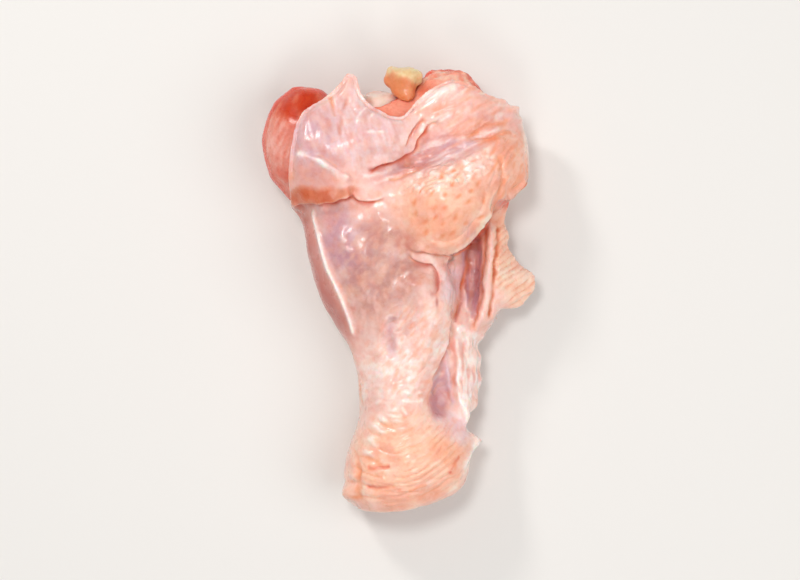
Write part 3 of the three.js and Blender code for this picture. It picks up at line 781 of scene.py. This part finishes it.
# Colour, strength, width and path
LINES = [
    # Painted shadow, with the skin's redder tone: red and dark red lines in the crevices under the edges of
    # the deltoid and the rear lobe
    ("red", 0.7, 0.35, [(2.4, 7.5), (4.3, 7), (7.8, 6.5), (10, 6.7), (12, 7.5), (14, 9.1),
                       (16.2, 11.7), (17.8, 14.2)]),
    ("shaded_red", 0.6, 0.3, [(14.6, 8.9), (16.6, 11.3), (18.2, 13.8), (18.9, 16)]),
    ("red", 0.7, 0.4, [(18.8, 16.6), (20, 16.9), (21.2, 17)]),
    ("cream", 0.7, 0.35, [(10, 7.6), (12, 8.5), (13.4, 9.8), (15.4, 12.3), (17, 14.6), (18, 17)]),
    ("brick", 0.8, 0.6, [(2.4, 5.9), (4.2, 5), (6.3, 4.6), (7, 3.8), (7.4, 2.6), (7.5, 1.2),
                         (6.9, -0.4), (5.6, -1)]),
    ("white_and_highlight", 0.7, 0.5, [(2.2, 7.1), (4.3, 6.2), (6.4, 5.6), (7.7, 4.6), (8.4, 3), (8.6, 1.4)]),
    # Painted shade, with the skin's redder tone: red and dark red lines in the creases of the S-fold and the
    # small fold beside it
    ("red", 0.75, 0.4, [(-6.2, 22.6), (-4.6, 23.4), (-2.9, 24.2), (-0.9, 24.8), (1, 25.9), (2.5, 27.1),
                        (3.3, 28.7), (4.4, 30.2), (6, 32.1)]),
    ("shaded_red", 0.35, 0.35, [(-6.4, 22.9), (-4.6, 23.6), (-2.9, 24.3), (-0.9, 24.9), (1, 26),
                         (2.5, 27.3), (3.2, 28.6)]),
    ("red", 0.4, 0.35, [(0.8, 27.6), (1.8, 29.8), (3, 31.6), (4.8, 33.4)]),
    ("salmon", 0.3, 0.8, [(-9, 24), (-11.6, 24.7), (-14, 26), (-15.4, 27)]),
    # Painted highlight along the ridge below the front sheet's crease
    ("white_and_highlight", 1, 0.45, [(-20.4, 26.3), (-18, 25.8), (-16.2, 25), (-14.2, 23.8), (-12.2, 22.4), (-9.6, 21.2)]),
    # Painted shadow, with the skin's red edge: red lines just under the lips of the two rolls
    ("red", 0.9, 0.5, [(-21, 16.4), (-18.4, 16.7), (-13.4, 16.8), (-10.6, 17.4), (-9, 18.4)]),
    ("red", 0.8, 0.4, [(-9, 18.6), (-8, 17.2), (-6.4, 16.8), (-4.6, 16.9)]),
    ("purple", 0.35, 0.6, PURPLE_GROOVE),
    # Painted shade, with the skin's orange crease tone: dark red and burnt orange lines in the grooves beside
    # the strip
    ("shaded_red", 0.6, 0.4, [(14.2, 9), (13.7, 7), (13.4, 4.8), (13, 2.6)]),
    ("shaded_rust", 0.6, 0.35, GROOVE_EDGE),
    ("shaded_red", 0.6, 0.25, [(12, -2.2), (11.8, -3.4), (11.5, -4.8), (11.1, -6.4)]),
    ("shaded_rust", 0.5, 0.4, STRIP_LEFT),
    ("shaded_rust", 0.85, 0.32, STRIP_RIGHT),
    ("shell", 0.7, 0.7, STRIP),
    ("lilac", 0.45, 0.3, STRIP),
    ("white_and_highlight", 0.9, 0.5, RUFFLE_CREST),
    # Painted highlights: the broad sheen on the crown, and glints on the ridge beside the S-fold
    ("white_and_highlight", 0.7, 0.9, [(4.4, 36), (7.4, 38), (11.2, 39.4)]),
    ("white_and_highlight", 0.6, 0.4, [(3.6, 30.4), (5.4, 31.9), (7.6, 33.3), (9.8, 34)]),
    ("white_and_highlight", 0.7, 0.7, [(11.6, -20.5), (12.6, -23), (13.5, -25.6), (13.9, -29), (13.6, -31.4)]),
    ("lilac", 0.9, 0.35, THIN_STRAND),
    ("white_and_highlight", 0.7, 0.3, INNER_STRAND),
    # Painted shadow, with the skin's red tone: red lines in the crease along the edge of the thick skin on
    # the shaft
    ("red", 0.35, 0.4, [(10.4, -8.4), (10.5, -12), (10.5, -16), (10.8, -19)]),
    ("red", 0.6, 0.35, [(9.9, -4), (9.7, -8.8), (9, -12), (7.7, -14.4), (6.7, -16.8)]),
    ("purple", 0.45, 1.1, CENTRE_GROOVE),
    ("red", 0.5, 0.35, [(-6.4, -34.2), (-5, -34.5), (-3.4, -34.3), (-1.8, -33.9)]),
    ("red", 0.45, 0.35, [(-6.6, -38.1), (-3.8, -38.2), (-1.6, -38.1), (0.2, -38.5)]),
    ("pore", 0.7, 0.4, [(-8.4, -31.6), (-8, -34.6), (-7.8, -38), (-7.6, -41)]),
    ("cream", 0.7, 0.5, [(-8.6, -43), (-3.5, -43.6), (4.4, -42.6), (9.1, -40), (12.6, -35.6), (14.6, -31.4)]),
    ("red", 0.5, 0.25, [(9.8, -34.8), (10.6, -33.4), (11.5, -32.2)]),
    ("pore", 0.5, 0.3, [(1.6, -39), (3.6, -38.2), (5.4, -37.4)]),
    ("pore", 0.6, 0.35, [(-8.2, -16), (-7.9, -19), (-7.2, -23)]),
    # Painted shade, with the skin's orange crease tone: the groove between the rear lobe and the deltoid
    ("pore", 0.6, 0.5, LOBE_VALLEY),
    ("salmon", 0.45, 0.4, TIP_FOLD),
    ("apricot", 0.6, 0.4, [(-13.6, 37.8), (-13, 35.6), (-12.6, 33.4)]),
    # Painted shade, with the skin's orange crease tone: the creases of the crown's fold and the valley's
    # lower fold
    ("pore", 0.6, 0.7, [(9.6, 29.9), (12.7, 29.8), (15.9, 31.4), (18.4, 32.2), (21.4, 32.6)]),
    ("pore", 0.8, 0.6, [(14.8, 27.8), (16.9, 28.8), (19.1, 29.8), (21.6, 30.6)]),
    # Painted highlights on the valley's ridge and on the ridges below the S-fold, and then painted shade in
    # the groove between them
    ("white_and_highlight", 0.6, 0.35, [(11.8, 28.6), (14.4, 29.4), (17.2, 30.4), (19.8, 31.6)]),
    ("white_and_highlight", 0.7, 0.35, [(-7.2, 21.8), (-4.2, 22.4), (-1.2, 23.4)]),
    ("white_and_highlight", 0.6, 0.3, [(-5.4, 20.6), (-2.4, 21.4), (0.8, 22.4)]),
    ("pore", 0.5, 0.4, [(-2.6, 21.2), (1, 22.2), (4.4, 23.6)]),
    ("cream", 0.8, 0.7, [(24.6, 6), (26.6, 4), (27.4, 1.6), (26.6, -1), (24.4, -3)]),
    ("cream", 0.7, 0.5, [(21.2, 37), (23.4, 34.4), (24.2, 31), (25, 27), (25.8, 23.4), (25, 20.4)]),
]

# The membrane on the front side, beside the tendon
SIDE_BAND = [(-20, 20), (-19.4, 14.6), (-18.4, 9), (-17, 4), (-15.2, 0), (-13.4, -3.6), (-11.4, -8),
             (-10, -14)]

SPOTS = [
    ("red", 0.95, (-10.4, 41.6), (0.4, 0.35)),
    ("red", 0.85, (9.7, -35.3), (0.3, 0.3)),
    # Painted shadow: red and orange spots in the crevice where the deltoid, the rear lobe and the strip meet
    ("red", 0.85, (19.6, 16.6), (1.2, 0.8)),
    ("shaded_rust", 0.6, (18.4, 15.6), (0.5, 0.9)),
    ("pore", 0.7, (10.6, -34.1), (0.3, 1)),
    ("cream", 0.8, (14.2, 40.6), (0.7, 0.6)),
    # Painted shade: a dark spot in a small hole in the skin
    ("shaded_red", 0.6, (7.1, -2.4), (0.3, 0.9)),
    ("pore", 0.7, (-8.1, -40.3), (0.6, 0.4)),
    ("pore", 0.7, (-21.7, 21.6), (0.6, 1.2)),
]


def skin_tints(co, n, outer, inner, hollow):
    """Each point's colour, as sRGB shares, with painted shade in the creases and painted highlights on
    ridges, bumps and some lines.
    """
    xy = co[:, :2]
    tint = np.tile(shares(SKIN_COLOURS["base"]), (len(co), 1))

    def lay(name, weight):
        nonlocal tint
        tint = tint + (shares(SKIN_COLOURS[name]) - tint) * np.clip(weight, 0, 1)[:, None]

    wander = np.stack([lumps(co, 4, 21), lumps(co, 4, 22)], 1)
    for name, strength, region in PATCHES:
        lay(name, strength * inside(xy + wander, **region))
    for seed, (name, strength, along, wide, turn, region) in enumerate(MOTTLES, 70):
        mottle = where_inside(co, region, lambda p: rise(streaks(p, turn, along, wide, seed), -0.05, 0.5))
        lay(name, strength * mottle)
    # Painted highlight: a pale glint laid on the top of each bump of middling height
    for height, centre, radii, turn in BUMPS:
        if GLINT_BUMPS[0] < height < GLINT_BUMPS[1]:
            lay("white_and_highlight", 2 * height * np.exp(-(ellipse(xy, centre, radii, turn) ** 2)))
    lay("pore", 0.4 * where_inside(co, dict(**ELBOW, edge=0.2), lambda p: 1 - rise(elbow_rows(p), 0.1, 0.5)))
    lay("pore", 0.6 * where_inside(co, dict(**FLAP, edge=0.2), lambda p: 1 - rise(flap_rows(p), 0.1, 0.5)))
    for x, y, width, length, turn in follicles():
        lay("pore", 0.85 * np.exp(-(ellipse(xy, (x, y), (length, width), turn) ** 2)))
    # Painted shade: creases are tinted apricot, and red where they sink further, partly the redder colour
    # that the skin has in its folds
    lay("apricot", 0.7 * rise(hollow, 0.02, 0.12))
    lay("red", 0.5 * rise(hollow, 0.08, 0.25))
    from_edge = within_edge(co)
    # Painted highlight: ridges away from the cut edge are made paler
    lay("white_and_highlight", 0.4 * rise(-hollow, 0.03, 0.16) * rise(from_edge, 0.5, 2))
    loose, line_strength = xy + wobble(co), uneven(co)
    lay("brick", 0.9 * rise(n[:, 2], -0.5, 0.2) * stroke(xy + wander / 2, SIDE_BAND, 2.2, 0.25))
    line_strength = line_strength * rise(n[:, 2], -0.4, 0.1)
    for name, strength, width, path in LINES:
        lay(name, strength * line_strength * stroke(loose, path, width, 0.08))
    for name, strength, centre, radii in SPOTS:
        lay(name, strength * np.exp(-(ellipse(xy, centre, radii, 0) ** 2)))
    lay("white_and_highlight", stroke(xy, TENDON, 0.36, 0.06))
    lay("white_and_highlight", 0.1 * (1 - rise(from_edge, 0.2, 0.9)))
    lay("salmon", 0.7 * inner)
    return tint


# Materials

def add_node(tree, kind, links=(), **settings):
    """Adds a node, sets its values and sockets, and links sockets: (own input, from node, its output)."""
    node = tree.nodes.new(kind)
    for name, value in settings.items():
        if hasattr(node, name):
            setattr(node, name, value)
        else:
            node.inputs[name.replace("_", " ")].default_value = value
    for own, source, output in links:
        tree.links.new(source.outputs[output], node.inputs[own])
    return node


def new_material(name):
    material = bpy.data.materials.new(name)
    material.use_nodes = True
    material.node_tree.nodes.clear()
    return material, material.node_tree


def wet_flesh(name, speckle, bump, roughness, scatter, coat=0.65):
    """Raw flesh under a film of its own juice: light scatters in it, and the film gives small sharp
    glints. Its colour is painted on the mesh, and is mottled here."""
    material, tree = new_material(name)
    place = add_node(tree, "ShaderNodeTexCoord")
    tint = add_node(tree, "ShaderNodeAttribute", attribute_name="tint")
    mottle = add_node(tree, "ShaderNodeTexNoise", [("Vector", place, "Object")],
                      Scale=1 / (0.9 * MM), Detail=4.0, Roughness=0.6)
    shade = add_node(tree, "ShaderNodeMapRange", [("Value", mottle, "Fac")],
                     From_Min=0.4, From_Max=0.75, To_Min=0.0, To_Max=0.35)
    colour = add_node(tree, "ShaderNodeMix", [(0, shade, "Result"), (6, tint, "Color")],
                      data_type="RGBA", blend_type="MULTIPLY")
    colour.inputs[7].default_value = linear(speckle)
    grain = add_node(tree, "ShaderNodeTexNoise", [("Vector", place, "Object")],
                     Scale=1 / (0.7 * MM), Detail=3.0, Roughness=0.5)
    relief = add_node(tree, "ShaderNodeBump", [("Height", grain, "Fac")], Strength=bump, Distance=0.25 * MM)
    film = add_node(tree, "ShaderNodeTexNoise", [("Vector", place, "Object")],
                    Scale=1 / (2.5 * MM), Detail=2.0)
    gloss = add_node(tree, "ShaderNodeMapRange", [("Value", film, "Fac")],
                     From_Min=0.3, From_Max=0.7, To_Min=roughness - 0.08, To_Max=roughness + 0.12)
    shader = add_node(
        tree, "ShaderNodeBsdfPrincipled",
        [("Base Color", colour, 2), ("Normal", relief, "Normal"), ("Roughness", gloss, "Result")],
        IOR=1.36, Subsurface_Weight=0.85, Subsurface_Radius=(1, 0.45, 0.32), Subsurface_Scale=scatter * MM,
        Coat_Weight=coat, Coat_Roughness=0.15, Coat_IOR=1.33)
    add_node(tree, "ShaderNodeOutputMaterial", [("Surface", shader, "BSDF")])
    return material


def matte_floor():
    """Plain pale paper: rough, with a faint tooth."""
    material, tree = new_material("pale_paper")
    place = add_node(tree, "ShaderNodeTexCoord")
    tooth = add_node(tree, "ShaderNodeTexNoise", [("Vector", place, "Object")],
                     Scale=1 / (0.8 * MM), Detail=2.0)
    relief = add_node(tree, "ShaderNodeBump", [("Height", tooth, "Fac")], Strength=0.1, Distance=0.1 * MM)
    shader = add_node(tree, "ShaderNodeBsdfPrincipled", [("Normal", relief, "Normal")],
                      Roughness=0.85, Base_Color=linear(0xE2DFDB))
    add_node(tree, "ShaderNodeOutputMaterial", [("Surface", shader, "BSDF")])
    return material


# Pieces

def inner_of(skin):
    """For each point of the skin, True where it lies on the meat."""
    return backed_by(skin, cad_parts["meat"], SKIN_WALL)


def make_skin():
    skin = merged_copy("skin", "chicken_skin")
    close_cracks(skin, CRACK, SKIN_VOXEL)
    apply_modifier(skin, "REMESH", mode="VOXEL", voxel_size=SKIN_VOXEL * MM)
    inner = inner_of(skin)
    co = points(skin)
    loose = co[:, 0] > LOOSE_START + LOOSE_SPREAD * np.abs(co[:, 1])
    body = ~inner & ~loose & (co[:, 1] < SHOULDER_END)
    apply_modifier(skin, "SMOOTH", factor=0.5, iterations=18, vertex_group=set_group(skin, "body", body))
    apply_modifier(skin, "SMOOTH", factor=0.5, iterations=5)
    apply_modifier(skin, "DECIMATE", ratio=FACES_KEPT,
                   vertex_group=set_group(skin, "inner", inner), vertex_group_factor=10)
    inner = inner_of(skin)
    divide(skin, ~inner & (normals(skin)[:, 2] > -0.1))
    upper = ~inner_of(skin) & (points(skin)[:, 2] > RAISED_FROM)
    fill_out(skin, upper, DELTOID_EDGE, reach=2.4, drop=3.2)
    fill_out(skin, upper, LOBE_EDGE, reach=2, drop=2.6)
    apply_modifier(skin, "SMOOTH", factor=0.5, iterations=2)
    inner = inner_of(skin)
    co, n = points(skin), normals(skin)
    outer = 1.0 - inner
    off_sole = rise(co[:, 2], SOLE_TOP, RELIEF_FULL)
    moved = co + skin_relief(co, n, outer * off_sole)
    moved[:, 2] = np.maximum(moved[:, 2], 0)
    put_points(skin, moved)
    off_flap = (co[:, 0] < FLAP_CORNER[0]) | (co[:, 1] > FLAP_CORNER[1])
    untangle(skin, outer * (within_edge(co) > 1) * off_flap)
    paint(skin, skin_tints(co, n, outer, 1.0 * inner, hollowness(skin, 3)))
    bpy.ops.object.shade_smooth()
    skin.data.materials.append(wet_flesh("raw_chicken_skin", 0xF0BCA8, 0.11, 0.3, 0.6))
    return skin


MEAT_COLOURS = {
    "salmon": 0xDE7560,
    "red": 0xCC4018,
    "veil": 0xEDB0A2,
    "rim": 0xE83C14,
    "notch": 0xF8A58C,
    "fatty": 0xFCC8B2,
}


def make_meat():
    meat = merged_copy("meat", "wing_meat")
    apply_modifier(meat, "REMESH", mode="VOXEL", voxel_size=MEAT_VOXEL * MM)
    apply_modifier(meat, "SMOOTH", factor=0.5, iterations=10)
    co, n = points(meat), normals(meat)
    xy = co[:, :2]
    fibres = 0.1 * pillows(streaks(co, 78, 8, 0.9, 31))
    crown = inside(xy, (8.6, 41), (6.4, 3), -8)
    lobes = crown * 0.5 * (pillows(lumps(co, 2.2, 34)) - 0.5)
    moved = co + n * (0.2 * lumps(co, 3.5, 32) + fibres + lobes)[:, None]
    # the front side's muscle is drawn out along the limb, and its upper end goes up and to the right
    moved[:, 1] += 0.1 * (co[:, 1] - 28.6) * (1 - rise(xy[:, 0], -20, -14))
    moved[:, :2] += np.outer(np.exp(-(ellipse(xy, (-16, 38.2), (2.6, 2), 0) ** 2)), (0.9, 1.1))
    put_points(meat, moved)
    tint = np.tile(shares(MEAT_COLOURS["salmon"]), (len(co), 1))

    def lay(name, weight):
        nonlocal tint
        tint = tint + (shares(MEAT_COLOURS[name]) - tint) * np.clip(weight, 0, 1)[:, None]

    lay("red", rise(n[:, 2], -0.3, 0.3) * rise(xy[:, 1] + lumps(co, 3, 36), 30.6, 34))
    lay("veil", 0.35 * rise(streaks(co, 78, 8, 0.9, 31), 0.05, 0.4))
    lay("veil", inside(xy, (-23.6, 28.6), (3, 4.8), 8) * (0.75 + 0.9 * streaks(co, 62, 4, 0.7, 33)))
    lay("veil", 0.7 * inside(xy, (-22.8, 19.8), (1.4, 3), 25))
    lay("notch", inside(xy, (1, 36), (6, 3), 0))
    lay("notch", crown)
    lay("rim", 0.85 * rise(n[:, 2], -0.4, 0.05) * (1 - rise(n[:, 2], 0.2, 0.5)))
    lay("fatty", crown * rise(n[:, 2], 0, 0.5) * rise(lumps(co, 1.6, 35), -0.3, 0.2))
    paint(meat, tint)
    bpy.ops.object.shade_smooth()
    meat.data.materials.append(wet_flesh("raw_wing_muscle", 0xD05038, 0.12, 0.26, 0.7, 0.3))
    return meat


def make_fat():
    fat = merged_copy("shoulder_fat", "fat_lobe")
    apply_modifier(fat, "REMESH", mode="VOXEL", voxel_size=FAT_VOXEL * MM)
    apply_modifier(fat, "SMOOTH", factor=0.5, iterations=4)
    co, n = points(fat), normals(fat)
    put_points(fat, co + n * (0.7 * lumps(co, 2.4, 41) + 0.15 * lumps(co, 1, 43))[:, None])
    yellow, orange = shares(0xE2CA9C), shares(0xDE8F62)
    low = 1 - rise(co[:, 1] + 0.5 * co[:, 0] + lumps(co, 2.5, 42), 40.4, 42)
    paint(fat, yellow + (orange - yellow) * low[:, None])
    bpy.ops.object.shade_smooth()
    fat.data.materials.append(wet_flesh("yellow_fat", 0xE5B983, 0.2, 0.35, 1.4, 0.4))
    return fat


def make_bone():
    bone = merged_copy("bone", "wing_bone")
    apply_modifier(bone, "REMESH", mode="VOXEL", voxel_size=BONE_VOXEL * MM)
    apply_modifier(bone, "SMOOTH", factor=0.5, iterations=8)
    co = points(bone)
    put_points(bone, co + BONE_SWELL * normals(bone))
    pale, pink = shares(0xEEDDD0), shares(0xE0A596)
    paint(bone, pale + (pink - pale) * np.clip(0.35 + 0.9 * lumps(co, 2.4, 51), 0, 1)[:, None])
    bpy.ops.object.shade_smooth()
    bone.data.materials.append(wet_flesh("bone_and_cartilage", 0xE3BFB0, 0.1, 0.28, 0.9))
    return bone


# Stage

def add_area(name, place, size, watts, colour=(1, 1, 1)):
    light = bpy.data.lights.new(name, "AREA")
    light.shape = "DISK"
    light.size = size
    light.energy = watts
    light.color = colour
    lamp = bpy.data.objects.new(name, light)
    bpy.context.scene.collection.objects.link(lamp)
    lamp.location = place
    lamp.rotation_euler = (Vector((0, 0, 0.01)) - Vector(place)).to_track_quat("-Z", "Y").to_euler()


def make_stage():
    bpy.ops.mesh.primitive_plane_add(size=3)
    floor = bpy.context.object
    floor.name = "floor"
    floor.data.materials.append(matte_floor())
    camera_data = bpy.data.cameras.new("camera")
    camera_data.lens = LENS
    camera_data.sensor_width = SENSOR
    camera_data.clip_start = 0.01
    camera = bpy.data.objects.new("camera", camera_data)
    bpy.context.scene.collection.objects.link(camera)
    low, high = cad_box
    middle = (Vector(low) + Vector(high)) / 2
    distance = LENS * VIEW_HEIGHT * MM * IMAGE_SHAPE / SENSOR
    camera.location = (middle.x, middle.y, middle.z + distance)
    bpy.context.scene.camera = camera
    add_area("key", (-0.28, 0.34, 0.32), 0.09, 0.85, (1, 0.985, 0.97))
    add_area("top", (-0.1, 0.14, 0.6), 0.14, 1.3)
    add_area("fill", (0.35, -0.1, 0.5), 0.5, 1.5)
    add_area("front", (-0.05, -0.35, 0.5), 0.2, 0.5)
    world = bpy.data.worlds.new("studio")
    world.use_nodes = True
    world.node_tree.nodes["Background"].inputs["Color"].default_value = (1, 0.99, 0.98, 1)
    world.node_tree.nodes["Background"].inputs["Strength"].default_value = 0.32
    bpy.context.scene.world = world
    bpy.context.scene.view_settings.view_transform = "Standard"


make_stage()
PIECES = {
    "skin": (make_skin, "skin"),
    "meat": (make_meat, "meat"),
    "shoulder_fat": (make_fat, "fat"),
    "bone": (make_bone, "bone"),
}
for node, (make, slot) in PIECES.items():
    piece = make()
    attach(piece, "root")
    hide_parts(node)
